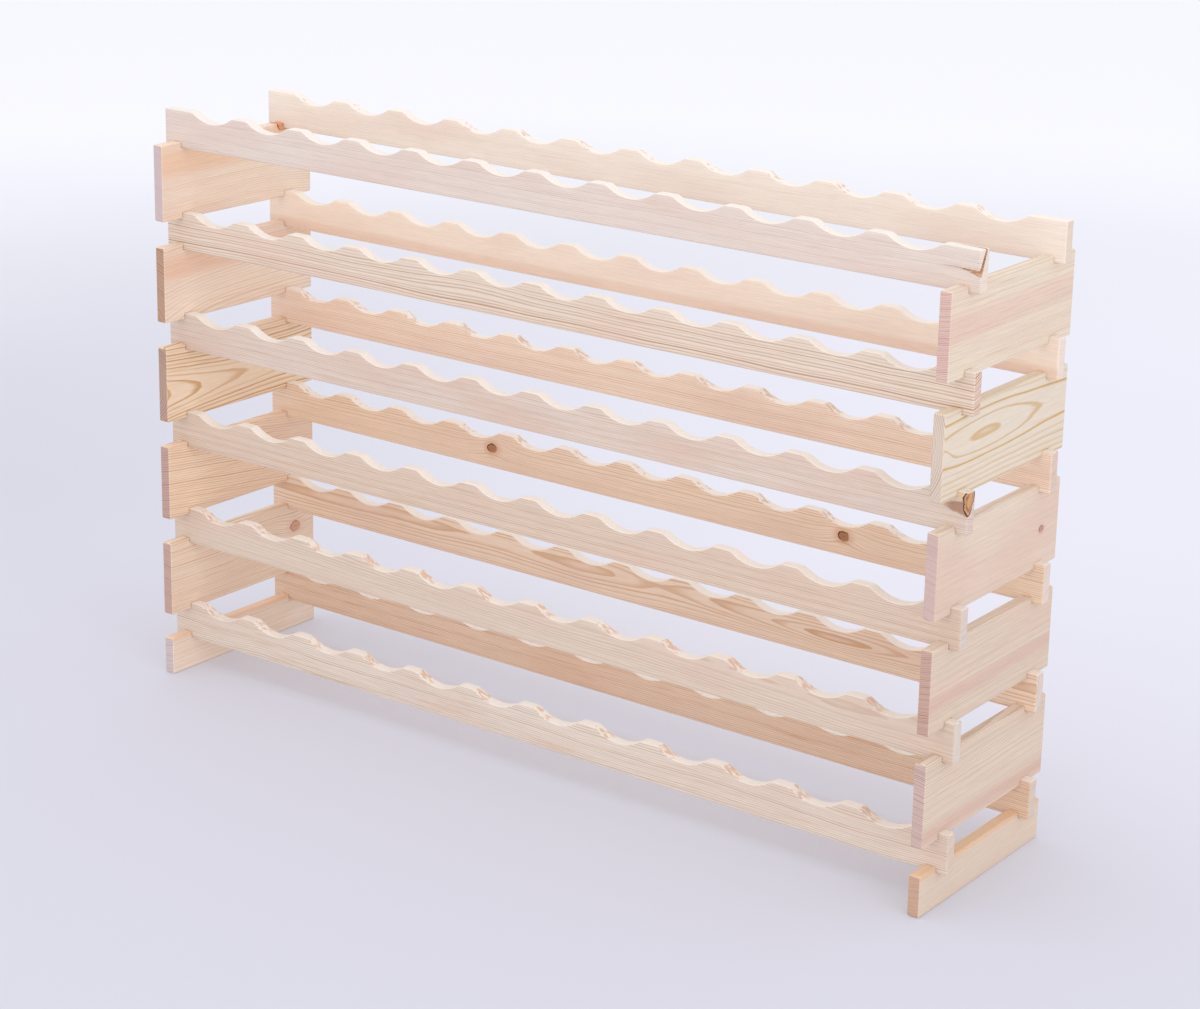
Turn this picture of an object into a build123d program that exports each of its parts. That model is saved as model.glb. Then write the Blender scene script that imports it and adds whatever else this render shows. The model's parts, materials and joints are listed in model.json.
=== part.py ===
"""Stackable wine rack: scalloped rails resting dry in notched end boards.

Frame: +Z up, +X along the rails to the rack's right, -Y towards its front.
The origin is on the floor, under the middle of the rack. Millimetres.

Every tier is a front rail and a back rail that run from side to side on edge.
Their lower edges drop into notches in the top edge of the boards below them,
and the next tier's end boards come down over their upper edges. No glue,
screw or peg holds the rack together: each board lifts straight off.
"""
import os

from build123d import *

# ---- driving dimensions -------------------------------------------------
tier_count = 6
bottles_per_row = 12

rack_length = 1200.0  # length of a rail, along X
rack_depth = 275.0  # length of an end board, along Y
board_thickness = 15.0  # every board is cut from the same planed stock
end_board_height = 100.0
foot_board_height = 50.0
rail_height = 48.5
rail_overhang = 13.5  # past the outer face of the end boards
rail_setback = 35.5  # from the edge of an end board to the rail beside it

notch_depth = 7.5
notch_clearance = 0.25  # on each side of a rail, so that it drops in by hand

bottle_pitch = 94.0
cradle_radius = 57.0
cradle_depth = 11.5
crest_radius = 12.0  # rounds the crests between the cradles

corner_radius = 2.5  # the four corners of an end board, seen from the side
edge_radius = 1.5  # eased long edges of the rails

# ---- places worked out from them ----------------------------------------
tier_pitch = rail_height + end_board_height - 2 * notch_depth
board_x = rack_length / 2 - rail_overhang - board_thickness / 2
rail_y = rack_depth / 2 - rail_setback - board_thickness / 2
notch_width = board_thickness + 2 * notch_clearance
first_cradle_x = -bottle_pitch * (bottles_per_row - 1) / 2


def board_top(tier):
    """Height of the top edge of the boards that carry a tier's rails."""
    return foot_board_height + (tier - 1) * tier_pitch


def rail_bottom(tier):
    """Height of the lower edge of a tier's rails, down in their notches."""
    return board_top(tier) - notch_depth


def make_side_board(label, centre_x, bottom, height, notched_below):
    """A board that runs front to back, with two notches in its top edge.

    An end board also has two in its bottom edge. They straddle the rails of
    the tier below. A foot board stands flat on the floor and has none.
    """
    side = Plane(origin=(centre_x, 0, bottom), x_dir=(0, 1, 0), z_dir=(1, 0, 0))
    notch_heights = [height - notch_depth / 2]
    if notched_below:
        notch_heights.append(notch_depth / 2)
    notch_places = [(y, z) for z in notch_heights for y in (-rail_y, rail_y)]
    with BuildPart() as board:
        with BuildSketch(side):
            Rectangle(rack_depth, height, align=(Align.CENTER, Align.MIN))
            fillet(vertices(), corner_radius)
            with Locations(*notch_places):
                Rectangle(notch_width, notch_depth, mode=Mode.SUBTRACT)
        extrude(amount=board_thickness / 2, both=True)
    board.part.label = label
    export_step(board.part, f"parts/{label}.step")


def make_rail(label, centre_y, bottom):
    """A rail on edge, with a row of cradles cut into its upper edge."""
    face = Plane(origin=(0, centre_y, bottom), x_dir=(1, 0, 0), z_dir=(0, -1, 0))
    cutter_height = rail_height - cradle_depth + cradle_radius
    cradle_xs = [first_cradle_x + i * bottle_pitch for i in range(bottles_per_row)]
    with BuildPart() as rail:
        with BuildSketch(face):
            Rectangle(rack_length, rail_height, align=(Align.CENTER, Align.MIN))
            with Locations(*[(x, cutter_height) for x in cradle_xs]):
                Circle(cradle_radius, mode=Mode.SUBTRACT)
            crest_corners = vertices().group_by(Axis.Y)[-1].sort_by(Axis.X)[1:-1]
            fillet(crest_corners, crest_radius)
        extrude(amount=board_thickness / 2, both=True)
        lower_edges = edges().filter_by(Axis.X).group_by(Axis.Z)[0]
        upright_edges = edges().filter_by(Axis.Z)
        fillet(lower_edges + upright_edges, edge_radius)
    rail.part.label = label
    export_step(rail.part, f"parts/{label}.step")


os.makedirs("parts", exist_ok=True)

# ---- boards that run front to back --------------------------------------
for side_name, board_centre in (("left", -board_x), ("right", board_x)):
    foot_label = f"{side_name}_foot_board"
    make_side_board(foot_label, board_centre, 0.0, foot_board_height, False)
    for tier in range(2, tier_count + 1):
        board_bottom = board_top(tier) - end_board_height
        board_label = f"{side_name}_end_board_{tier}"
        make_side_board(board_label, board_centre, board_bottom, end_board_height, True)

# ---- scalloped rails ----------------------------------------------------
for row_name, rail_centre in (("front", -rail_y), ("back", rail_y)):
    for tier in range(1, tier_count + 1):
        make_rail(f"{row_name}_rail_{tier}", rail_centre, rail_bottom(tier))
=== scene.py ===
# %% [markdown]
# # A stackable pine wine rack
# Twenty-four pine boards, no glue and no screws. Six tiers of scalloped rails
# lie in notches cut into the end boards, and each board can be lifted off.
# The sizes come from a CAD model, which is loaded here as a fixed frame.
# Every piece below is made where the CAD says it is, so nothing is fitted by
# eye. Loading comes first, because everything else asks the frame for sizes.

# %% Load the CAD frame
import json
import math

import bmesh
import bpy
import numpy as np
from mathutils import Matrix, Vector


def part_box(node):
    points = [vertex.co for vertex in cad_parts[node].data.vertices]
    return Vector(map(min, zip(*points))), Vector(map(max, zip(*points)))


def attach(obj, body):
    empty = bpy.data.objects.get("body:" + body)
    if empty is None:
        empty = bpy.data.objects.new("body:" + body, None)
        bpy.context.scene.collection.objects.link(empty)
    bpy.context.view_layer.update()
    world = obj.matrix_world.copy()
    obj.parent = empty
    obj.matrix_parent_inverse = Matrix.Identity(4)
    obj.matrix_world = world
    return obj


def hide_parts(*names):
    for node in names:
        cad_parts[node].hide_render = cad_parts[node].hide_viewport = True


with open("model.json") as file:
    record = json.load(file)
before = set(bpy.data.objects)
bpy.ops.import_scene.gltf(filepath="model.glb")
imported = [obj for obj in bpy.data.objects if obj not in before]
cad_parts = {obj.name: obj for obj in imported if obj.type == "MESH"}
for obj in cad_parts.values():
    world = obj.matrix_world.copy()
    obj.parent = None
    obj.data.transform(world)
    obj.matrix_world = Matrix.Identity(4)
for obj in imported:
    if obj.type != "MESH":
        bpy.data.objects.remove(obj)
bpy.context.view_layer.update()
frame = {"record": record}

# %% [markdown]
# ## The stock
# The joiner cuts every board from the same 15 mm planed pine. Before making
# anything we read the real sizes from two boards of the frame. The cradle
# numbers are the joiner's template: a 57 mm radius bites 11.5 mm into the
# rail every 94 mm, and sandpaper rounds the crest between two bites. Each
# notch is half a millimetre wider than a rail, so that it drops in by hand.

# %% Measure two boards
MM = 0.001


def size_of(node):
    low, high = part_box(node)
    return high - low


rail_length, board_thickness, rail_height = size_of("front_rail_1")
bottle_pitch, bottles_per_row = 94 * MM, 12
cradle_radius, cradle_depth, crest_radius = 57 * MM, 11.5 * MM, 12 * MM
eased_edge = 1.5 * MM
notch_width, notch_depth, board_corner = 15.5 * MM, 7.5 * MM, 2.5 * MM
for node in ("front_rail_1", "left_end_board_2"):
    print(node, "measures", [round(v / MM, 1) for v in size_of(node)], "mm")

# %% [markdown]
# ## The camera
# A long lens from the front right, a little above the rack. The lens is
# shifted down and to the left, as with a view camera, so that the upright
# edges stay nearly parallel. The direction is built from two angles and a
# small roll, because three plain numbers are easier to tune than a matrix.

# %% Put up the camera
turn, tilt, roll = math.radians(-34.51), math.radians(15.70), math.radians(1.77)
stand_at, lens, shift = (1.975, -2.6035, 1.402), 83.46, (-0.089, -0.100)
look = Vector((math.sin(turn) * math.cos(tilt), math.cos(turn) * math.cos(tilt), -math.sin(tilt)))
level = look.cross(Vector((0, 0, 1))).normalized()
upright = level.cross(look)
side = level * math.cos(roll) + upright * math.sin(roll)
top = upright * math.cos(roll) - level * math.sin(roll)
camera = bpy.data.objects.new("camera", bpy.data.cameras.new("camera"))
camera.location = stand_at
camera.rotation_euler = Matrix((side, top, -look)).transposed().to_euler()
camera.data.lens, camera.data.sensor_width = lens, 36
camera.data.shift_x, camera.data.shift_y = shift
bpy.context.scene.collection.objects.link(camera)
bpy.context.scene.camera = camera
bpy.context.scene.view_settings.view_transform = "Standard"
print("camera looks along", [round(v, 3) for v in look])

# %% [markdown]
# ## Maths that reads like maths
# Shader and geometry formulas need dozens of Math nodes. Placing them one by
# one hides the formula, so a small class wraps a socket and turns + - * /
# into nodes. Numbers may stand on either side. A second class, the bench,
# adds any other node in one line: its type, its settings, its sockets.

# %% A value that flows between nodes
def plug(value, socket):
    """Feeds a socket with a link if the value flows, or else with the number itself."""
    if isinstance(value, Flow):
        socket.id_data.links.new(value.socket, socket)
    else:
        socket.default_value = value


class Flow:
    """A number on its way between nodes, in a shader tree or a geometry tree."""

    def __init__(self, socket):
        self.socket = socket

    def maths(self, operation, *values):
        node = self.socket.id_data.nodes.new("ShaderNodeMath")
        node.operation = operation
        for place, value in zip(node.inputs, values):
            plug(value, place)
        return Flow(node.outputs[0])

    def __add__(self, other):
        return self.maths("ADD", self, other)

    def __sub__(self, other):
        return self.maths("SUBTRACT", self, other)

    def __rsub__(self, other):
        return self.maths("SUBTRACT", other, self)

    def __mul__(self, other):
        return self.maths("MULTIPLY", self, other)

    def __truediv__(self, other):
        return self.maths("DIVIDE", self, other)

    def __abs__(self):
        return self.maths("ABSOLUTE", self)

    def __lt__(self, other):
        return self.maths("LESS_THAN", self, other)

    __radd__, __rmul__ = __add__, __mul__

    def root(self):
        return self.maths("SQRT", self.maths("MAXIMUM", self, 0.0))

    def fraction(self):
        return self.maths("FRACT", self)

    def smaller(self, other):
        return self.maths("MINIMUM", self, other)

    def larger(self, other):
        return self.maths("MAXIMUM", self, other)


print("a Flow has", sum(callable(part) for part in vars(Flow).values()), "methods")

# %% A bench that adds any node
class Bench:
    """A node tree and one method that adds a node to it."""

    def __init__(self, tree):
        self.tree = tree
        tree.nodes.clear()

    def add(self, kind, settings=None, sockets=None, output=0):
        node = self.tree.nodes.new(kind)
        for name, value in (settings or {}).items():
            setattr(node, name, value)
        for name, value in (sockets or {}).items():
            plug(value, node.inputs[name])
        return Flow(node.outputs[output]) if len(node.outputs) else node

    def ease(self, value, start, end, low=0.0, high=1.0):
        """Runs smoothly from low to high while value goes from start to end."""
        return self.add("ShaderNodeMapRange", {"interpolation_type": "SMOOTHSTEP"}, {
            "Value": value, "From Min": start, "From Max": end, "To Min": low, "To Max": high})

    def vector(self, x, y, z):
        return self.add("ShaderNodeCombineXYZ", None, {0: x, 1: y, 2: z})

    def noise(self, place, scale=1.0, detail=2.0, roughness=0.5):
        return self.add("ShaderNodeTexNoise", None, {
            "Vector": place, "Scale": scale, "Detail": detail, "Roughness": roughness})


def tint(bench, amount, under, over):
    """Lays one colour over another. The mixing is done by a Mix node, which keeps it coloured."""
    return bench.add("ShaderNodeMix", {"data_type": "RGBA", "blend_type": "MIX", "clamp_factor": True},
                     {0: amount, 6: under, 7: over}, output=2)


def try_out(title, recipe):
    """Sets a recipe up on a scratch tree, says how many nodes it takes, and throws the tree away."""
    scratch = bpy.data.node_groups.new("scratch", "ShaderNodeTree")
    recipe(Bench(scratch))
    print(title, "takes", len(scratch.nodes), "nodes")
    bpy.data.node_groups.remove(scratch)


try_out("one ease", lambda bench: bench.ease(0.5, 0.0, 1.0))

# %% [markdown]
# ## The stage
# A plain pale floor with a breath of lavender, lit like a white studio. The
# floor's colour is painted brighter with distance, standing in for the light
# on a sweep of paper that curves up towards the lamps, so it runs into the
# white background with no hard horizon from any side. A painted pool of light
# brightens it behind the rack, and a faint painted glow lifts its shadows.

# %% Lay the floor
def shown(red, green, blue):
    """A colour as it looks on screen, 0 to 255, turned into the linear light that shaders use."""
    screen = [value / 255 for value in (red, green, blue)]
    return [v / 12.92 if v < 0.0412 else ((v + 0.055) / 1.055) ** 2.4 for v in screen] + [1.0]


def new_material(name):
    material = bpy.data.materials.new(name)
    material.use_nodes = True
    return material, Bench(material.node_tree)


def floor_paper():
    material, bench = new_material("studio_paper")
    # the first point is the centre of a painted pool of light on the floor, and the emission colour is a painted
    # glow
    painted_light_middle, painted_glow = (0.05, 1.85, 0.0), (0.15, 0.146, 0.152, 1.0)
    place = bench.add("ShaderNodeTexCoord", None, None, output=3)
    away = bench.add("ShaderNodeVectorMath", {"operation": "LENGTH"}, {0: place}, output=1)
    soft = bench.noise(place, 0.7, 3.0) * 0.8 - 0.4
    # painted light: the floor is coloured lighter near a point behind the rack and darker away from it
    painted_light_pool = bench.add("ShaderNodeVectorMath", {"operation": "DISTANCE"}, {0: place, 1: painted_light_middle}, output=1)
    colour = tint(bench, bench.ease(painted_light_pool + soft, 2.5, 0.4), shown(188, 188, 198), shown(214, 214, 222))
    # painted light: the floor's colour grows brighter with distance, standing in for light on paper that curves up
    # to the lamps
    colour = tint(bench, bench.ease(away + soft, 1.3, 4.6), colour, shown(236, 236, 238))
    # the emission is a painted glow: it lifts the floor's shadows and adds a little light to the rack from below
    shader = bench.add("ShaderNodeBsdfPrincipled", None, {
        "Base Color": colour, "Roughness": 0.85, "Emission Color": painted_glow, "Emission Strength": 1.0})
    bench.add("ShaderNodeOutputMaterial", None, {"Surface": shader})
    return material


half_floor = 15
floor_corners = [(x * half_floor, y * half_floor, 0) for x, y in ((-1, -1), (1, -1), (1, 1), (-1, 1))]
floor_mesh = bpy.data.meshes.new("floor")
floor_mesh.from_pydata(floor_corners, [], [(0, 1, 2, 3)])
floor_mesh.materials.append(floor_paper())
floor = bpy.data.objects.new("floor", floor_mesh)
floor.location.z = -0.3 * MM
bpy.context.scene.collection.objects.link(floor)
print("floor laid,", 2 * half_floor, "m a side")

# %% [markdown]
# ## The light
# A white room fills every shadow, so the world itself is the main lamp. Three
# big soft discs then give the boards a direction: one overhead, one in front
# and a stronger one at the right, which makes the end boards the lightest
# faces. Discs this large have no sharp shadow edge, as in a product studio.

# %% Hang the lights
world = bpy.data.worlds.new("white_studio")
world.use_nodes = True
world.node_tree.nodes["Background"].inputs["Color"].default_value = shown(246, 247, 254)
world.node_tree.nodes["Background"].inputs["Strength"].default_value = 1.0
bpy.context.scene.world = world


def softbox(name, place, target, size, power):
    lamp = bpy.data.lights.new(name, "AREA")
    lamp.shape, lamp.size, lamp.energy = "DISK", size, power
    box = bpy.data.objects.new(name, lamp)
    box.location = place
    box.rotation_euler = (Vector(target) - Vector(place)).to_track_quat("-Z", "Y").to_euler()
    box.visible_camera = False
    bpy.context.scene.collection.objects.link(box)
    print(name, size, "m across,", power, "W")


softbox("overhead_softbox", (-0.4, -0.6, 3.0), (0, 0, 0.3), 2.6, 15)
softbox("front_softbox", (0.6, -3.9, 1.5), (0, 0, 0.4), 2.4, 14)
softbox("right_softbox", (3.8, -1.2, 1.3), (0, 0, 0.4), 2.2, 25)

# %% [markdown]
# ## Pine
# Wood is not a picture stuck on a board: it is a slice of a tree. So the
# material builds the tree first. It takes the distance from the heart of the
# log, wobbles it a little, and calls every few millimetres a year. Early wood
# is pale, late wood is a thin darker line. Where a face cuts the rings at a
# slant the lines run straight, and where it cuts them flat they open into
# arches. The end grain comes out right by itself, because it is the same log.
# All boards share this recipe, and each gets its own heart, ring width and
# colours, since no two boards of a real rack match. We start with the three
# directions of a board: along the grain, across it and up.

# %% Read a place on the board, in millimetres
def split(bench, vector):
    node = bench.tree.nodes.new("ShaderNodeSeparateXYZ")
    plug(vector, node.inputs[0])
    return [Flow(o) for o in node.outputs]


def grain_places(bench, middle, grain):
    """The place and the facing of a point, measured along the grain, across the board and up."""
    x, y, z = split(bench, bench.add("ShaderNodeTexCoord", None, None, output=3))
    nx, ny, nz = split(bench, bench.add("ShaderNodeTexCoord", None, None, output=1))
    x, y, z = ((v - m) * 1000 for v, m in zip((x, y, z), middle))
    return ((x, y, z), (nx, ny, nz)) if grain == "X" else ((y, x, z), (ny, nx, nz))


def any_place(bench):
    """A place to try a recipe out on."""
    return grain_places(bench, Vector(), "X")[0]


try_out("reading a place", any_place)

# %% [markdown]
# ## A standard piece of pine
# The timber merchant's usual board: colours of the early and the late wood,
# how strong the rings show, how many millimetres a year is wide, and where
# the heart of the log lies. A board further on names only what differs.
# Swells are places where the log bulged, which turn lines into closed loops.

# %% What every board starts from
standard_pine = {
    "early": shown(228, 208, 190), "late": shown(196, 160, 126), "contrast": 0.4, "ring": 2.0,
    "heart": (14, -120), "lean": (0.0, 0.0), "wander": 3.0, "ripple": 1.0, "bow": 0.0, "bow_at": 0.0,
    "swells": (), "start": 0.0, "uneven": 1.2, "late_from": 0.30, "late_spread": 0.0, "streak": 0.30,
    "blush": shown(222, 184, 164), "blush_amount": 0.25, "bands": (), "knots": (), "end_knot": (), "torn": 0.0,
    # cut is the paler colour of upward-facing faces on the rails: partly sawn wood, partly painted light from
    # above
    "end": shown(206, 176, 164), "end_late": shown(160, 112, 100), "cut": shown(241, 232, 221),
    "knot_colour": shown(188, 130, 90), "bark_colour": shown(70, 42, 32), "knot_halo": shown(216, 156, 108),
    "seed": 1,
}

print("a standard board has", len(standard_pine), "properties")

# %% [markdown]
# ## The years of the log
# Each year of a pine is a pale soft layer that ends in a thin dark one. The
# rule works outwards from the heart: distance, plus a slow wobble, plus the
# bulges around knots, divided by the width of a year. The fraction says how
# far through the year a point is, and the whole number picks how strong that
# year's dark line is. A formula is better than a stripe texture here, because
# a face, an edge and the end grain all cut the same rings.

# %% How far through its year a point is
def log_years(bench, place, half_length, wood):
    """How far through its year each point is, and how strong that year's late wood is."""
    along, across, up = place
    seed = wood["seed"] * 7.31
    drift = split(bench, bench.add("ShaderNodeTexNoise", None, {
        "Vector": bench.vector(along / 230 + seed, across / 60, up / 60), "Detail": 1.5, "Scale": 1.0}, output=1))
    ripple = bench.noise(bench.vector(along / 48 + seed, across / 9, up / 9), 1.0, 2.0)
    sideways = across + wood["heart"][0] + along * wood["lean"][0] + (drift[0] - 0.5) * (2 * wood["wander"])
    upwards = up + wood["heart"][1] + along * wood["lean"][1] + (drift[1] - 0.5) * (2 * wood["wander"])
    from_heart = (sideways * sideways + upwards * upwards).root() + (ripple - 0.5) * wood["ripple"]
    if wood["bow"]:
        run = (along - wood["bow_at"]) / half_length
        from_heart = from_heart + run * run * wood["bow"]
    around_knots = tuple((run, height, 4.8 * radius, 2.1 * radius, 1.3 * radius)
                         for run, height, radius in wood["knots"])
    for run, height, long, high, amount in wood["swells"] + around_knots:
        reach_along, reach_up = (along - run) / long, (up - height) / high
        near = (reach_along * reach_along + reach_up * reach_up) * -1
        from_heart = from_heart + near.maths("EXPONENT", near) * amount
    year = (from_heart + wood["start"]) / wood["ring"]
    year = year + (bench.noise(bench.vector(year * 0.45, seed, 0.0), 1.0, 1.0) - 0.5) * wood["uneven"]
    through = year.fraction()
    begins = bench.ease(abs(up + wood["heart"][1]), 8.0, 45.0) * wood["late_spread"] + wood["late_from"]
    late = bench.ease(through, begins, 0.88) - bench.ease(through, 0.92, 1.0)
    luck = bench.add("ShaderNodeTexWhiteNoise", {"noise_dimensions": "1D"}, {"W": year.maths("FLOOR", year)})
    return late * (luck * 0.75 + 0.25), drift[2]


try_out("the years of the log", lambda bench: log_years(bench, any_place(bench), 600, standard_pine))

# %% [markdown]
# ## Knots
# A knot is the foot of a branch that the board was cut through. It is darker
# and harder than the wood around it, has fine rings of its own, and often a
# line of bark on one side. Painting it into the same material keeps it part
# of the board: the rings of the log already swell around it.

# %% Knots
def paint_knots(bench, place, wood, colour):
    """Each knot is the foot of a branch: a brown core with its own fine rings and a dark bark line round it."""
    along, across, up = place
    for run, height, radius in wood["knots"]:
        rough = bench.noise(bench.vector(along / 6, across / 6, up / 6), 1.0, 2.0) * 0.5 - 0.25
        reach_along, reach_up = (along - run) / (radius * 1.25), (up - height) / radius
        out = (reach_along * reach_along + reach_up * reach_up).root() + rough
        core = bench.ease(out, 0.95, 0.8)
        rings = abs((out * 3.5).fraction() - 0.5) * 2
        dark = rings * 0.28 + bench.ease(out, 0.4, 0.1) * 0.15
        heart = tint(bench, dark, wood["knot_colour"], wood["bark_colour"])
        halo = bench.ease(out, 2.4, 0.9) * 0.5
        colour = tint(bench, halo, colour, wood["knot_halo"])
        colour = tint(bench, core, colour, heart)
        line = bench.ease(out, 0.72, 0.88) * bench.ease(out, 1.1, 0.96)
        one_side = bench.ease(reach_along * -0.6 + reach_up * 0.5 + rough, -0.6, 0.5, 0.25, 1.0)
        colour = tint(bench, line * one_side, colour, wood["bark_colour"])
    return colour


try_out("one knot", lambda bench: paint_knots(
    bench, any_place(bench), {**standard_pine, "knots": ((0, 0, 6),)}, standard_pine["early"]))

# %% [markdown]
# ## A loose knot at the end of a rail
# One rail was sawn off through a knot that still has its bark. It shows on
# the front and on the end at once, as a dark almond with a brown core and a
# stain in front of it. A solid shape in the wood, an ellipsoid on a slant,
# gives both faces their outline from one formula.

# %% A knot that the saw cut through
def paint_end_knot(bench, place, wood, colour):
    """A loose knot in its own bark, seen on two faces at once, with resin-stained wood in front of it."""
    along, across, up = place
    (run, side, height), (long, wide, high) = wood["end_knot"]
    rough = bench.noise(bench.vector(along / 7, across / 5, up / 7), 1.0, 3.0, 0.6) - 0.5
    reach = [(value - centre) / size for value, centre, size
             in zip((along, across, up), (run, side, height), (long, wide, high))]
    slant = reach[1] - reach[2] * 0.5
    out = (reach[0] * reach[0] + slant * slant + reach[2] * reach[2]).root() + rough * 0.6
    wedge = (along - run + 5 * long) * 0.26 - abs(up - height + 0.45 * high) + rough * 6
    stain = bench.ease(wedge, 0.0, 3.0) * bench.ease(along, run - 4.6 * long, run - 2.4 * long)
    colour = tint(bench, stain * bench.ease(across, -5.5, -7.2) * 0.8, colour, shown(168, 122, 92))
    fresh = bench.ease(along, run - 2.2 * long, run - 1.5 * long) \
        * bench.ease(up, height - 0.2 * high, height + 0.2 * high)
    colour = tint(bench, fresh * 0.8, colour, shown(236, 200, 164))
    colour = tint(bench, bench.ease(out, 0.98, 0.9), colour, shown(206, 156, 112))
    inner = bench.ease(abs(out - 0.62), 0.09, 0.03)
    colour = tint(bench, inner * 0.7, colour, shown(132, 84, 62))
    bark = bench.ease(abs(out - 0.95), 0.10, 0.05)
    return tint(bench, bark * 0.95, colour, shown(66, 42, 38))


try_out("the loose knot", lambda bench: paint_end_knot(
    bench, any_place(bench), {**standard_pine, "end_knot": ((600, 0, 0), (9, 9, 19))}, standard_pine["early"]))

# %% [markdown]
# ## The finish of one board
# Now the layers of a planed board go on, from the inside out: rings, streaks
# of resin, a blush of pink heartwood, knots, and the fine fibres that catch
# the light. The end grain gets its own deeper colours, since it drinks light.
# Where the saw cut a cradle, on the faces that look upwards, the wood is paler
# and fuzzy: partly the look of sawn fibres and partly painted light from above.
# On the falling side of a crest the cutter tore it. All of it is one material
# that asks which way the surface faces, so no face needs painting by hand.

# %% The finish of one board
def pine(name, middle, half_length, grain, **differences):
    """A raw planed pine finish for one board."""
    wood = {**standard_pine, **differences}
    material, bench = new_material("pine_" + name)
    place, facing = grain_places(bench, middle, grain)
    along, across, up = place
    late, drift = log_years(bench, place, half_length, wood)
    fibre = bench.noise(bench.vector(along / 24, across / 0.6, up / 0.6), 1.0, 3.0, 0.65)
    dashes = bench.ease(bench.noise(bench.vector(along / 8, across / 0.45, up / 0.45), 1.0, 1.0), 0.64, 0.8)
    streak = bench.noise(bench.vector(along / 120 + wood["seed"], across / 3.2, up / 3.2), 1.0, 3.0, 0.6)

    colour = tint(bench, late * wood["contrast"], wood["early"], wood["late"])
    colour = tint(bench, bench.ease(streak, 0.52, 0.78) * wood["streak"], colour, wood["late"])
    colour = tint(bench, bench.ease(drift, 0.42, 0.68) * wood["blush_amount"], colour, wood["blush"])
    for height, half_width, band_colour, strength in wood["bands"]:
        edge = abs(up + (drift - 0.5) * 8 - height)
        colour = tint(bench, bench.ease(edge, half_width, half_width * 0.3) * strength, colour, band_colour)
    if wood["knots"]:
        colour = paint_knots(bench, place, wood, colour)
    shade = (fibre - 0.5) * 0.34 + (streak - 0.5) * wood["streak"] * 0.5 - dashes * 0.09 + 1.0
    colour = bench.add("ShaderNodeVectorMath", {"operation": "SCALE"}, {0: colour, "Scale": shade})

    pores = bench.noise(bench.vector(along / 40, across / 0.4, up / 0.4), 1.0, 2.0, 0.7)
    end_colour = tint(bench, late * min(1.0, wood["contrast"] * 1.2 + 0.2), wood["end"], wood["end_late"])
    end_colour = bench.add("ShaderNodeVectorMath", {"operation": "SCALE"},
                           {0: end_colour, "Scale": (pores - 0.5) * 0.5 + 1.0})
    end_face = bench.ease(abs(facing[0]), 0.72, 0.93)
    colour = tint(bench, end_face, colour, end_colour)
    if wood["end_knot"]:
        colour = paint_end_knot(bench, place, wood, colour)
    height = late * 0.035 + fibre * 0.05 + end_face * pores * 0.12
    if grain == "X":
        # painted light: faces that look upwards are painted paler, partly the look of sawn cut wood and partly
        # light from above
        sawn_and_top_lit = bench.ease(facing[2], 0.35, 0.7) * bench.ease(abs(facing[0]), 0.93, 0.7)
        colour = tint(bench, sawn_and_top_lit * 0.8, colour, wood["cut"])
        fuzz = bench.noise(bench.vector(along / 1.6, across / 0.8, up / 1.6), 1.0, 2.0, 0.7)
        height = height + sawn_and_top_lit * fuzz * 0.18
        if wood["torn"] > 0.2:
            patches = bench.noise(bench.vector(along / 9, across / 4, up / 9), 1.0, 2.0)
            torn = bench.ease(facing[0], 0.12, 0.34) * (1.0 - end_face) * bench.ease(facing[2], 0.3, 0.6) \
                * bench.ease(patches, 0.62 - 0.2 * wood["torn"], 0.68 - 0.1 * wood["torn"])
            colour = tint(bench, torn * 0.62, colour, shown(220, 166, 124))
            height = height + torn * fuzz * 0.6
    rough = fibre * 0.12 + 0.52 - late * 0.06 + end_face * 0.2
    bump = bench.add("ShaderNodeBump", None, {"Strength": 1.0, "Distance": 0.001, "Height": height})
    shader = bench.add("ShaderNodeBsdfPrincipled", None, {
        "Base Color": colour, "Roughness": rough, "Specular IOR Level": 0.3, "Normal": bump})
    bench.add("ShaderNodeOutputMaterial", None, {"Surface": shader})
    return material


test_finish = pine("test", Vector(), 600, "X")
print("a plain board's finish has", len(test_finish.node_tree.nodes), "nodes")
bpy.data.materials.remove(test_finish)

# %% [markdown]
# ## A scalloped rail
# A rail is a rounded section swept along its length, with its upper edge
# lowered wherever a cradle passes. That is one rule repeated twelve times, so
# Geometry Nodes make it. The tree takes the joiner's numbers as inputs. It
# lays rings of points along the rail, closes up the last few into a rounded
# end, and then lowers the top of each ring by the depth of the cradle there.
# Where the cutter came out against the grain it tore small bites from the
# falling side of the crests, and a seeded noise makes those. We begin with
# the cross-section: a quarter of its points serves one corner and one side.

# %% The rounded section of a rail
corner_steps, side_steps = 4, 8
quarter_steps = corner_steps + side_steps


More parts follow.
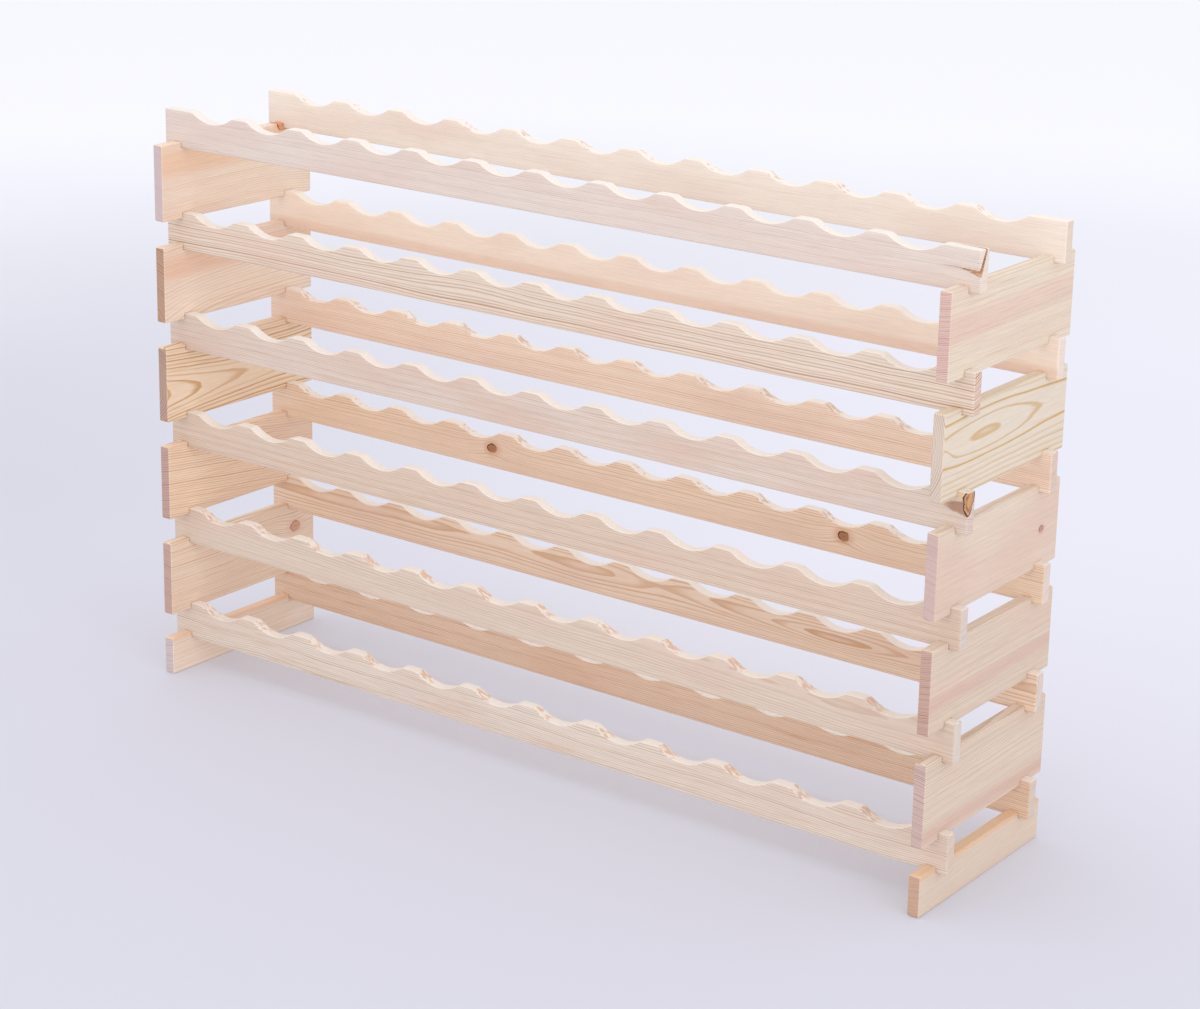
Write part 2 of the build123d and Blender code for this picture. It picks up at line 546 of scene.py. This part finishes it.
def rounded_section(bench, size):
    """Points round a rectangle: five on each corner, and seven along each side."""
    circle = bench.add("GeometryNodeCurvePrimitiveCircle", {"mode": "RADIUS"}, {
        "Resolution": 4 * quarter_steps, "Radius": 1.0})
    number = bench.add("GeometryNodeInputIndex") + 0.0
    quarter = (number / quarter_steps).maths("FLOOR", number / quarter_steps)
    step = number - quarter * quarter_steps
    arc, run = step.smaller(float(corner_steps)) / corner_steps, (step - corner_steps).larger(0.0) / side_steps
    angle = (quarter + arc) * (math.pi / 2)

    def corner(quarter, wave):
        slant = (quarter + 0.5) * (math.pi / 2)
        turned = slant.maths(wave, slant)
        return turned.maths("SIGN", turned)

    def coordinate(wave, width):
        here, there = corner(quarter, wave), corner(quarter + 1, wave)
        centre = here + (there - here) * run
        return centre * (width / 2 - size["Edge Radius"]) + angle.maths(wave, angle) * size["Edge Radius"]

    across, up = coordinate("COSINE", size["Thickness"]), coordinate("SINE", size["Height"])
    section = bench.add("GeometryNodeSetPosition", None, {
        "Geometry": circle, "Position": bench.vector(across, up, 0.0)})
    for name, value in (("across", across), ("up", up)):
        section = bench.add("GeometryNodeStoreNamedAttribute", {"data_type": "FLOAT", "domain": "POINT"},
                            {"Geometry": section, "Name": name, "Value": value})
    return section


print("points round the section:", 4 * quarter_steps)

# %% [markdown]
# ## From end to end
# The section is repeated along a line of points, like slices of a loaf. Most
# slices are 2 mm apart, so that a cradle's curve stays smooth. The last few at
# each end crowd together and shrink, which rounds the end as sandpaper does.

# %% The rings along a rail
ring_count = 601


def rail_rings(bench, size):
    """A line of points from end to end. The outer ones crowd together, and shrink inwards to round the end."""
    line = bench.add("GeometryNodeCurvePrimitiveLine", {"mode": "POINTS"},
                     {"Start": (0, 0, 0), "End": bench.vector(size["Length"], 0.0, 0.0)})
    line = bench.add("GeometryNodeResampleCurve", {"mode": "COUNT"}, {"Curve": line, "Count": size["Rings"]})
    number, last = bench.add("GeometryNodeInputIndex") + 0.0, size["Rings"] - 1.0
    from_end = number.smaller(last - number)
    angle = ((from_end - 1).larger(0.0) / 3).smaller(1.0) * (math.pi / 2)
    step = (size["Length"] / 2 - size["Edge Radius"]) / (last / 2 - 4)
    in_from_end = (1 - angle.maths("COSINE", angle)) * size["Edge Radius"] + (from_end - 4).larger(0.0) * step
    last_step_in = 1.2 * MM
    inset = (1 - angle.maths("SINE", angle)) * size["Edge Radius"] + (from_end < 0.5) * last_step_in
    half = (number < last / 2) * -2 + 1
    line = bench.add("GeometryNodeSetPosition", None, {
        "Geometry": line, "Position": bench.vector(half * (size["Length"] / 2 - in_from_end), 0.0, 0.0)})
    return bench.add("GeometryNodeStoreNamedAttribute", {"data_type": "FLOAT", "domain": "POINT"},
                     {"Geometry": line, "Name": "inset", "Value": inset})


print("rings along a rail:", ring_count)

# %% [markdown]
# ## The cradle
# A cradle is part of a circle that a cutter bites out of the upper edge, and
# the sharp crest left between two bites is sanded round. So the height of the
# edge is a formula of the place along the rail: the big circle where we are
# in a bite, a small one turned over on the crest, and straight past the last.
# The two circles touch, so the formula needs no table of points.

# %% The cradle rule
def cradle_drop(bench, size, x):
    """How far the upper edge drops at x: a cradle's arc, then a small arc that rounds the crest, then flat."""
    turn = (x / size["Pitch"] + size["Cradles"] / 2).fraction() - 0.5
    out = abs(turn) * size["Pitch"]
    radius, depth, crest = size["Cradle Radius"], size["Cradle Depth"], size["Crest Radius"]
    rise = radius - depth + crest
    reach = ((radius + crest) * (radius + crest) - rise * rise).root()
    meet = reach * radius / (radius + crest)
    bowl = (radius * radius - out * out).root() - (radius - depth)
    rounding = crest - (crest * crest - (reach - out) * (reach - out)).root()
    in_bowl, in_rounding = out < meet, (out < reach) - (out < meet)
    inside = abs(x) < size["Pitch"] * size["Cradles"] / 2
    return (bowl * in_bowl + rounding * in_rounding) * inside, turn * size["Pitch"]


mouth_width = 2 * math.sqrt(cradle_radius ** 2 - (cradle_radius - cradle_depth) ** 2)
print("a cradle's mouth is", round(mouth_width / MM, 1), "mm wide before its edges are rounded")

# %% [markdown]
# ## The whole rail tree
# The parts come together: sweep the section along the line, look up for each
# point how far the edge drops there, and move the point down by its share.
# Points at the lower edge stay, those at the top move all the way, and the
# sides are spread evenly between, so no face is left stretched.

# %% The whole tree
def rail_tree():
    tree = bpy.data.node_groups.new("scalloped_rail", "GeometryNodeTree")
    bench = Bench(tree)
    tree.interface.new_socket("Geometry", in_out="INPUT", socket_type="NodeSocketGeometry")
    lengths = "Length Height Thickness Pitch Cradle_Radius Cradle_Depth Crest_Radius Edge_Radius Torn Seed".split()
    kinds = {**{name.replace("_", " "): "Float" for name in lengths},
             "Rings": "Int", "Cradles": "Int", "Place": "Vector", "Material": "Material"}
    for name, kind in kinds.items():
        tree.interface.new_socket(name, in_out="INPUT", socket_type="NodeSocket" + kind)
    tree.interface.new_socket("Geometry", in_out="OUTPUT", socket_type="NodeSocketGeometry")
    given = tree.nodes.new("NodeGroupInput")
    size = {socket.name: Flow(socket) for socket in given.outputs if socket.name}

    rail = bench.add("GeometryNodeCurveToMesh", None, {
        "Curve": rail_rings(bench, size), "Profile Curve": rounded_section(bench, size), "Fill Caps": True})
    across, up, inset = (bench.add("GeometryNodeInputNamedAttribute", {"data_type": "FLOAT"}, {"Name": name})
                         for name in ("across", "up", "inset"))
    x = split(bench, bench.add("GeometryNodeInputPosition"))[0]
    drop, from_cradle = cradle_drop(bench, size, x)
    height = size["Height"] - drop
    level = up / size["Height"] + 0.5

    patches = bench.noise(bench.vector(x * 150 + size["Seed"] * 3.7, across * 260, 0.0), 1.0, 2.0, 0.7)
    falling = bench.ease(from_cradle, -0.040, -0.034) * bench.ease(from_cradle, -0.008, -0.018)
    bite = bench.ease(patches, 0.48, 0.66) * bench.ease(level, 0.95, 1.0) * falling * size["Torn"]
    arris = bench.ease(abs(across) / size["Thickness"], 0.30, 0.46)
    narrow = 1 - (inset * 2) / size["Thickness"] - bite * arris * 0.8 / size["Thickness"] * 2
    shrink = 1 - (inset * 2) / height
    placed = bench.vector(x, across * narrow, inset + level * height * shrink - bite * arris)
    placed = bench.add("ShaderNodeVectorMath", {"operation": "ADD"}, {0: placed, 1: size["Place"]})
    rail = bench.add("GeometryNodeSetPosition", None, {"Geometry": rail, "Position": placed})
    for name in ("across", "up", "inset"):
        rail = bench.add("GeometryNodeRemoveAttribute", None, {"Geometry": rail, "Name": name})
    rail = bench.add("GeometryNodeSetShadeSmooth", None, {"Geometry": rail})
    rail = bench.add("GeometryNodeRealizeInstances", None, {"Geometry": rail})
    rail = bench.add("GeometryNodeSetMaterial", None, {"Geometry": rail, "Material": size["Material"]})
    bench.add("NodeGroupOutput", None, {"Geometry": rail})
    print("the rail tree has", len(tree.nodes), "nodes and", len(kinds), "named inputs")
    return tree


tree = rail_tree()

# %% [markdown]
# ## From a tree to a mesh
# A modifier makes its shape afresh each time. Once a board is right we want
# the plain mesh, so that later steps can cut it and it can ride on its body.
# So a carrier object wears the modifier for a moment, its inputs are set by
# their identifiers, and the finished mesh is taken from it. A closed mesh has
# no open edges, and its volume comes out positive if its faces look outwards.

# %% Turn a tree into a plain mesh
def make_piece(name, tree, sizes):
    """Runs a Geometry Nodes tree with these inputs, and keeps only the plain mesh that comes out."""
    carrier = bpy.data.objects.new(name + "_making", bpy.data.meshes.new(name + "_making"))
    bpy.context.scene.collection.objects.link(carrier)
    modifier = carrier.modifiers.new("make", "NODES")
    modifier.node_group = tree
    for item in tree.interface.items_tree:
        if item.in_out == "INPUT" and item.name in sizes:
            modifier[item.identifier] = sizes[item.name]
    ready = carrier.evaluated_get(bpy.context.evaluated_depsgraph_get())
    mesh = bpy.data.meshes.new_from_object(ready)
    mesh.name = name
    bpy.data.objects.remove(carrier)
    piece = bpy.data.objects.new(name, mesh)
    bpy.context.scene.collection.objects.link(piece)
    return piece


def volume_of(piece):
    """The volume in cubic metres, which is above nothing if the faces point outwards, and the open edges."""
    shape = bmesh.new()
    shape.from_mesh(piece.data)
    volume, open_edges = shape.calc_volume(signed=True), sum(1 for e in shape.edges if not e.is_manifold)
    shape.free()
    return volume, open_edges


plank = make_piece("plank", tree, {
    "Length": 0.2, "Height": rail_height, "Thickness": board_thickness, "Rings": 51, "Cradles": 0,
    "Pitch": bottle_pitch, "Edge Radius": eased_edge})
print("a plank of the tree without cradles: volume and open edges", volume_of(plank))
bpy.data.meshes.remove(plank.data)

# %% [markdown]
# ## Choosing the boards
# Here each rail gets its own wood. The heart of the log sits so many
# millimetres across and up from the middle of the board: far below gives
# straight close lines, near and behind gives arches. Rings are wide on a
# fast-grown tree. The differences are small, but together they are what
# makes the rack look like timber and not like plastic. The front rails are
# mostly quiet, straight-grained pieces, with one of broad dark rings.

# %% Woods of the front rails
rail_woods = {
    "front_rail_1": dict(early=shown(233, 218, 202), late=shown(189, 155, 122), contrast=0.8, ring=2.4,
        heart=(60, -90), wander=6, ripple=1.6, streak=0.65, swells=((-436, -8, 60, 14, 5),), torn=0.9, seed=1,
        end=shown(223, 205, 189), end_late=shown(203, 173, 148)),
    "front_rail_2": dict(early=shown(226, 208, 189), late=shown(188, 154, 121), contrast=0.55, ring=2.4,
        heart=(34, -26), lean=(0.0, 0.035), wander=5, streak=0.35, torn=1.0, seed=2, end=shown(224, 213, 201),
        end_late=shown(205, 181, 160)),
    "front_rail_3": dict(early=shown(226, 205, 185), late=shown(188, 151, 118), contrast=0.75, ring=2.4,
        heart=(20, -130), wander=3, streak=0.65, torn=0.2, seed=3, end=shown(220, 207, 196),
        end_late=shown(199, 175, 157)),
    "front_rail_4": dict(early=shown(227, 210, 194), late=shown(192, 153, 129), contrast=0.8, ring=2.1,
        heart=(24, 120), wander=4, streak=0.6, blush=shown(218, 184, 166), blush_amount=0.5,
        end_knot=((602, -4.0, 15.0), (9, 9, 19)), torn=0.1, seed=4, end=shown(222, 201, 189),
        end_late=shown(200, 164, 148)),
    "front_rail_5": dict(early=shown(233, 215, 195), late=shown(168, 120, 80), contrast=1.0, ring=3.4,
        heart=(26, -70), lean=(0.0, 0.003), wander=5, uneven=1.6, swells=((-92, 4, 70, 16, 5),),
        bands=((24, 18, shown(229, 211, 191), 0.75),), torn=0.2, seed=5, end=shown(225, 200, 181),
        end_late=shown(170, 109, 76)),
    "front_rail_6": dict(early=shown(230, 215, 202), late=shown(178, 143, 125), contrast=0.45, ring=2.1,
        heart=(18, -80), lean=(0.0, 0.004), wander=5, streak=0.3, swells=((-520, -10, 50, 14, 4),), torn=0.1,
        seed=6, end=shown(234, 220, 205), end_late=shown(208, 178, 155)),
}

print("front rails with rings wider than 3 mm:", [name for name, wood in rail_woods.items() if wood["ring"] > 3])

# %% [markdown]
# ## The back rails
# These are warmer and livelier boards: one with two dark knots, one sawn near
# the heart, so that its rings open into arches, and one with a reddish lower
# edge. An update adds them to the same list, so that one loop makes them all.

# %% Woods of the back rails
rail_woods.update({
    "back_rail_1": dict(early=shown(243, 215, 189), late=shown(189, 137, 97), contrast=0.8, ring=2.6,
        heart=(20, -110), wander=3, streak=0.7, blush=shown(225, 180, 146), blush_amount=0.3, seed=7,
        end=shown(222, 206, 193), end_late=shown(196, 167, 143)),
    "back_rail_2": dict(early=shown(245, 221, 197), late=shown(206, 149, 90), contrast=0.8, ring=2.6,
        heart=(30, -8), wander=4, late_from=0.4,
        swells=((330, -2, 120, 13, -6.5), (60, 10, 70, 16, 4)), seed=8, end=shown(224, 211, 200),
        end_late=shown(196, 157, 124)),
    "back_rail_3": dict(early=shown(246, 221, 195), late=shown(204, 147, 92), contrast=0.6, ring=2.6,
        heart=(30, -50), wander=5, knots=((-210, 2, 6.5), (330, 0, 6.5)), torn=0.4, seed=9,
        end=shown(230, 214, 204), end_late=shown(204, 166, 138)),
    "back_rail_4": dict(early=shown(251, 229, 206), late=shown(209, 152, 115), contrast=0.7, ring=2.4,
        heart=(26, -70), wander=5, torn=0.9, seed=10, end=shown(222, 204, 189), end_late=shown(197, 156, 128)),
    "back_rail_5": dict(early=shown(251, 233, 213), late=shown(220, 175, 146), contrast=0.25, ring=2.0,
        heart=(20, 90), wander=4, streak=0.15, bands=((-17, 10, shown(232, 190, 162), 0.4),), seed=11,
        end=shown(236, 218, 206), end_late=shown(214, 182, 162)),
    "back_rail_6": dict(early=shown(245, 232, 216), late=shown(213, 180, 151), contrast=0.3, ring=2.0,
        heart=(22, -90), wander=4, streak=0.2, torn=0.3, seed=12, end=shown(227, 210, 192),
        end_late=shown(206, 177, 152)),
})
print("woods chosen for", len(rail_woods), "rails")

# %% [markdown]
# ## Twelve rails from one tree
# The loop asks the frame where each rail lies, makes its wood, and runs the
# tree with the joiner's numbers. Only the place, the wood, the seed and how
# much the cutter tore differ from rail to rail.

# %% Make the twelve rails
deepest_tear = 0.8 * MM
rails = {}
for name, wood in rail_woods.items():
    low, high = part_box(name)
    middle = (low + high) / 2
    finish = pine(name, middle, rail_length / 2 / MM, "X", **wood)
    rails[name] = make_piece("pine_" + name, tree, {
        "Length": rail_length, "Height": rail_height, "Thickness": board_thickness, "Rings": ring_count,
        "Cradles": bottles_per_row, "Pitch": bottle_pitch, "Cradle Radius": cradle_radius,
        "Cradle Depth": cradle_depth, "Crest Radius": crest_radius, "Edge Radius": eased_edge,
        "Torn": wood.get("torn", 0.15) * deepest_tear, "Seed": float(wood["seed"]),
        "Place": (0.0, middle.y, low.z), "Material": finish})
print("rails made:", len(rails), "volume and open edges of one:", volume_of(rails["front_rail_1"]),
      "faces:", len(rails["front_rail_1"].data.polygons))

# %% [markdown]
# ## The split end
# The top front rail has been knocked at its right end. The grain split on a
# slant from the front face up to the back of the top edge, the loose corner
# bent outwards, and a splinter fell out below it, so the torn wood inside
# shows. We score the mesh along the seam with two close cuts, bend what lies
# above them, and then subtract a jagged wedge that opens towards the end. The
# wedge carries the colour of torn fibres, and the cut faces keep it.

# %% The colour of torn fibres
def torn_fibres():
    material, bench = new_material("torn_fibres")
    x, y, z = split(bench, bench.add("ShaderNodeTexCoord", None, None, output=3))
    fibre = bench.noise(bench.vector(x * 90, y * 900, z * 900), 1.0, 3.0, 0.7)
    colour = tint(bench, bench.ease(fibre, 0.35, 0.65), shown(184, 134, 100), shown(232, 192, 154))
    bump = bench.add("ShaderNodeBump", None, {"Strength": 1.0, "Distance": 0.001, "Height": fibre * 0.8})
    shader = bench.add("ShaderNodeBsdfPrincipled", None, {"Base Color": colour, "Roughness": 0.85, "Normal": bump})
    bench.add("ShaderNodeOutputMaterial", None, {"Surface": shader})
    print("torn fibres take", len(material.node_tree.nodes), "nodes")
    return material


# %% Score the seam and bend the loose corner
def bend_corner(piece, seam_low, seam_high, start, reach, bend):
    """Cuts two close loops along the seam, and bends what lies in front of them away from the rail."""
    along_seam = (seam_high - seam_low).normalized()
    outwards = along_seam.cross(Vector((1, 0, 0))).normalized()
    outwards *= 1 if outwards.y < 0 else -1
    shape = bmesh.new()
    shape.from_mesh(piece.data)
    for offset in (-0.2 * MM, 0.2 * MM):
        near = [f for f in shape.faces if max(v.co.x for v in f.verts) > start]
        edges = {e for f in near for e in f.edges}
        points = {v for f in near for v in f.verts}
        bmesh.ops.bisect_plane(shape, geom=near + list(edges) + list(points), dist=1e-7,
                               plane_co=seam_low + outwards * offset, plane_no=outwards)
    loose = [point for point in shape.verts
             if point.co.x > start and (point.co - seam_low).dot(outwards) > 0.15 * MM]
    for point in loose:
        point.co.y -= bend * ((point.co.x - start) / reach) ** 2
    print("points of the loose corner:", len(loose))
    shape.to_mesh(piece.data)
    shape.free()
    return outwards


# %% The jagged wedge
def wedge_for(seam_low, seam_high, start, reach, bend, chip, outwards):
    """A thin sheet at its far end and an open mouth at the end of the rail. Its walls are torn, not flat."""
    rng = np.random.default_rng(6)
    shape, sections, steps, slices, half_gap = bmesh.new(), [], 8, 30, 0.08 * MM
    for i in range(slices):
        x = start + 1 * MM + (reach + 1 * MM) * i / (slices - 1)
        part = min(1.0, (x - start) / reach)
        mouth = chip * max(0.0, min(1.0, (x - start - reach / 2) / (reach / 2))) ** 1.2
        gape = bend * part ** 2
        body, flap = [], []
        for k in range(steps):
            along = k / (steps - 1)
            seam = seam_low.lerp(seam_high, along)
            tear = rng.uniform(-0.5, 0.5) * min(1 * MM, 0.4 * (gape + mouth))
            body.append(seam - outwards * half_gap + Vector((0, 0, -mouth * (1 - along))) - outwards * abs(tear))
            flap.append(seam + outwards * half_gap + Vector((0, -gape, 0)) + outwards * abs(tear) * 0.5)
        front, above = Vector((0, -9 * MM, 0)), Vector((0, 0, 6 * MM))
        ring = [body[0] + front] + body + [body[-1] + above, flap[-1] + above] + flap[::-1] + [flap[0] + front]
        sections.append([shape.verts.new((x, p.y, p.z)) for p in ring])
    for one, two in zip(sections, sections[1:]):
        for j in range(len(one)):
            k = (j + 1) % len(one)
            shape.faces.new((one[j], one[k], two[k], two[j]))
    shape.faces.new(sections[0])
    shape.faces.new(sections[-1])
    bmesh.ops.triangulate(shape, faces=shape.faces)
    bmesh.ops.recalc_face_normals(shape, faces=shape.faces)
    mesh = bpy.data.meshes.new("wedge")
    shape.to_mesh(mesh)
    shape.free()
    mesh.materials.append(torn_fibres())
    wedge = bpy.data.objects.new("wedge", mesh)
    bpy.context.scene.collection.objects.link(wedge)
    print("the wedge has", len(mesh.polygons), "faces")
    return wedge


# %% Split the top front rail
def split_end(piece):
    low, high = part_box("front_rail_6")
    seam_low = Vector((0, low.y, low.z + 26 * MM))
    seam_high = Vector((0, low.y + 11 * MM, high.z))
    start, reach, bend, chip = high.x - 55 * MM, 55 * MM, 3.2 * MM, 7.5 * MM
    outwards = bend_corner(piece, seam_low, seam_high, start, reach, bend)
    wedge = wedge_for(seam_low, seam_high, start, reach, bend, chip, outwards)
    cut = piece.modifiers.new("split", "BOOLEAN")
    cut.operation, cut.solver, cut.material_mode, cut.object = "DIFFERENCE", "EXACT", "TRANSFER", wedge
    mesh = bpy.data.meshes.new_from_object(piece.evaluated_get(bpy.context.evaluated_depsgraph_get()))
    piece.modifiers.clear()
    piece.data = mesh
    bpy.data.objects.remove(wedge)
    print("split end: faces", len(mesh.polygons), "volume and open edges", volume_of(piece))


split_end(rails["front_rail_6"])

# %% [markdown]
# ## The notched end boards
# The boards that run front to back are flat, with two notches in the top edge
# and two in the bottom one, which straddle the rails. We draw the outline as
# a joiner would mark it out, push it to the thickness of the board, and let a
# small bevel take the sharpness off every edge, as a pass of sandpaper does.

# %% Mark out a side board
def side_outline(depth, height, notch_width, notch_depth, corner, notched_below):
    """The outline seen from the side, anticlockwise from the lower front corner."""
    half, rail_y = depth / 2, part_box("back_rail_1")[0].y + board_thickness / 2

    def corner_arc(y, z, start):
        angles = [start + math.pi / 2 * i / 4 for i in range(5)]
        return [(y + corner * math.cos(a), z + corner * math.sin(a)) for a in angles]

    def notch(y, edge, cut, way):
        near, far = y - way * notch_width / 2, y + way * notch_width / 2
        return [(near, edge), (near, edge + cut), (far, edge + cut), (far, edge)]

    outline = corner_arc(-half + corner, corner, math.pi)
    if notched_below:
        outline += notch(-rail_y, 0.0, notch_depth, 1) + notch(rail_y, 0.0, notch_depth, 1)
    outline += corner_arc(half - corner, corner, -math.pi / 2)
    outline += corner_arc(half - corner, height - corner, 0.0)
    outline += notch(rail_y, height, -notch_depth, -1) + notch(-rail_y, height, -notch_depth, -1)
    return outline + corner_arc(-half + corner, height - corner, math.pi / 2)


print("points round an end board:", len(side_outline(0.275, 0.1, notch_width, notch_depth, board_corner, True)))

# %% Cut it from the board
sanded_edge = 1.6 * MM


def side_board(name, finish):
    low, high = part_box(name)
    outline = side_outline(high.y - low.y, high.z - low.z, notch_width, notch_depth, board_corner, "end" in name)
    shape = bmesh.new()
    faces = [[shape.verts.new((x, y, low.z + z)) for y, z in outline] for x in (low.x, high.x)]
    shape.faces.new(faces[1])
    shape.faces.new(reversed(faces[0]))
    for i in range(len(outline)):
        j = (i + 1) % len(outline)
        shape.faces.new((faces[0][i], faces[0][j], faces[1][j], faces[1][i]))
    bmesh.ops.recalc_face_normals(shape, faces=shape.faces)
    mesh = bpy.data.meshes.new("pine_" + name)
    shape.to_mesh(mesh)
    shape.free()
    mesh.materials.append(finish)
    board = bpy.data.objects.new("pine_" + name, mesh)
    bpy.context.scene.collection.objects.link(board)
    sanding = board.modifiers.new("sanding", "BEVEL")
    sanding.width, sanding.segments = sanded_edge, 4
    sanding.limit_method, sanding.angle_limit = "ANGLE", math.radians(40)
    rounded = bpy.data.meshes.new_from_object(board.evaluated_get(bpy.context.evaluated_depsgraph_get()))
    board.modifiers.clear()
    board.data = rounded
    for face in rounded.polygons:
        face.use_smooth = max(abs(v) for v in face.normal) < 0.9999
    return board


print("sanded edge", sanded_edge / MM, "mm")

# %% [markdown]
# ## Woods of the end boards
# The end boards are wider than the rails, so they show more of the log. Most
# have straight rings and a soft pink band of heartwood. One on each side was
# sawn so close to the heart that its rings close into long loops: a bend in
# the log or a swell in it does that. On the left we see the inner faces.

# %% Woods of the right end boards
side_woods = {
    "right_foot_board": dict(early=shown(226, 207, 186), late=shown(204, 172, 140), contrast=0.42, ring=1.8,
        heart=(20, -110), wander=2, bands=((24, 7, shown(232, 186, 140), 0.6),), seed=21,
        end=shown(208, 173, 148), end_late=shown(176, 123, 92)),
    "right_end_board_2": dict(early=shown(228, 210, 189), late=shown(175, 136, 103), contrast=0.65, ring=2.2,
        heart=(20, 130), wander=2, bands=((-38, 14, shown(210, 166, 148), 0.45),), seed=22,
        end=shown(214, 188, 178), end_late=shown(160, 112, 98)),
    "right_end_board_3": dict(early=shown(224, 206, 185), late=shown(186, 147, 121), contrast=0.6, ring=2.1,
        heart=(18, -130), wander=2, streak=0.55, bands=((-14, 12, shown(212, 168, 152), 0.45),), seed=23,
        end=shown(206, 172, 156), end_late=shown(158, 106, 88)),
    "right_end_board_4": dict(early=shown(229, 213, 192), late=shown(199, 159, 134), contrast=0.5, ring=2.0,
        heart=(24, 120), wander=2.5, streak=0.55, blush=shown(218, 183, 164), blush_amount=0.5,
        knots=((98, -4, 4.4),), knot_colour=shown(196, 150, 136), bark_colour=shown(146, 98, 88),
        knot_halo=shown(216, 172, 156), seed=24, end=shown(214, 188, 178), end_late=shown(176, 134, 126)),
    "right_end_board_5": dict(early=shown(226, 212, 192), late=shown(202, 160, 91), contrast=1.0, ring=2.9,
        heart=(100, -14), wander=1.6, ripple=0.5, uneven=0.6, start=0.6, late_from=0.74, late_spread=-0.36,
        swells=((-52, 8, 118, 30, -3.8), (-150, 2, 24, 8, 3.0)), blush_amount=0.0, seed=25, end=shown(220, 201, 184), end_late=shown(174, 147, 127)),
    "right_end_board_6": dict(early=shown(233, 219, 197), late=shown(189, 151, 123), contrast=0.6, ring=1.9,
        heart=(20, -140), wander=2, streak=0.6, bands=((8, 22, shown(222, 184, 166), 0.45),), seed=26,
        end=shown(224, 192, 180), end_late=shown(172, 118, 104)),
}

knotty = [name for name, wood in side_woods.items() if "knots" in wood]
print("right boards:", len(side_woods), "of which with a knot:", knotty)

# %% Woods of the left end boards
side_woods.update({
    "left_foot_board": dict(early=shown(245, 225, 205), late=shown(220, 185, 157), contrast=0.8, ring=2.6,
        heart=(20, -110), wander=2, streak=0.7, bands=((24, 5, shown(236, 192, 156), 0.6),), seed=27,
        end=shown(214, 199, 195), end_late=shown(184, 160, 154)),
    "left_end_board_2": dict(early=shown(242, 220, 196), late=shown(205, 161, 122), contrast=0.75, ring=3.0,
        heart=(30, 110), wander=3, streak=0.6, knots=((100, 14, 8),), knot_colour=shown(214, 164, 136),
        bark_colour=shown(178, 122, 98), knot_halo=shown(228, 184, 156), seed=28, end=shown(204, 172, 158),
        end_late=shown(168, 128, 114)),
    "left_end_board_3": dict(early=shown(244, 217, 188), late=shown(197, 143, 99), contrast=0.85, ring=3.0,
        heart=(26, -110), lean=(0.0, 0.12), wander=3, streak=0.6, seed=29, end=shown(198, 166, 153),
        end_late=shown(167, 125, 114)),
    "left_end_board_4": dict(early=shown(239, 214, 185), late=shown(195, 142, 80), contrast=1.0, ring=3.2,
        heart=(30, 10), lean=(0.03, 0.0), bow=-3.9, bow_at=0, wander=3, uneven=0.8, start=0.6, late_from=0.6,
        late_spread=-0.3, blush_amount=0.0, seed=30, end=shown(190, 160, 141), end_late=shown(146, 109, 92)),
    "left_end_board_5": dict(early=shown(240, 221, 199), late=shown(211, 149, 110), contrast=0.5, ring=3.6,
        heart=(32, 74), bow=2.5, bow_at=150, wander=3, uneven=1.5, start=0.3, late_from=0.35,
        swells=((-150, -60, 60, 60, 13),), bands=((22, 22, shown(232, 184, 152), 0.55),), seed=31,
        end=shown(192, 157, 131), end_late=shown(144, 98, 68)),
    "left_end_board_6": dict(early=shown(242, 222, 201), late=shown(211, 158, 115), contrast=0.55, ring=2.4,
        heart=(32, 84), bow=6, bow_at=0, wander=4, late_from=0.35,
        bands=((26, 24, shown(238, 192, 150), 0.5),), knots=((84, 48, 8),), knot_colour=shown(232, 164, 120),
        bark_colour=shown(150, 78, 54), knot_halo=shown(236, 178, 138), seed=32, end=shown(212, 192, 188),
        end_late=shown(184, 156, 152)),
})

print("woods chosen for", len(side_woods), "side boards")

# %% Make the twelve side boards
sides = {}
for name, wood in side_woods.items():
    low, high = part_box(name)
    finish = pine(name, (low + high) / 2, (high.y - low.y) / 2 / MM, "Y", **wood)
    sides[name] = side_board(name, finish)
print("side boards made:", len(sides), "volume and open edges of one:", volume_of(sides["left_end_board_2"]))

# %% [markdown]
# ## Putting the rack together
# Each piece rides on the CAD body of its board, so that it lifts off as the
# board does, and the CAD board that it replaces is hidden.

# %% Ride and replace
body_of_node = {node: body for body, nodes in frame["record"]["behaviour"]["bodies"].items() for node in nodes}
for name, piece in {**rails, **sides}.items():
    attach(piece, body_of_node[name])
    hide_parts(name)

# %% [markdown]
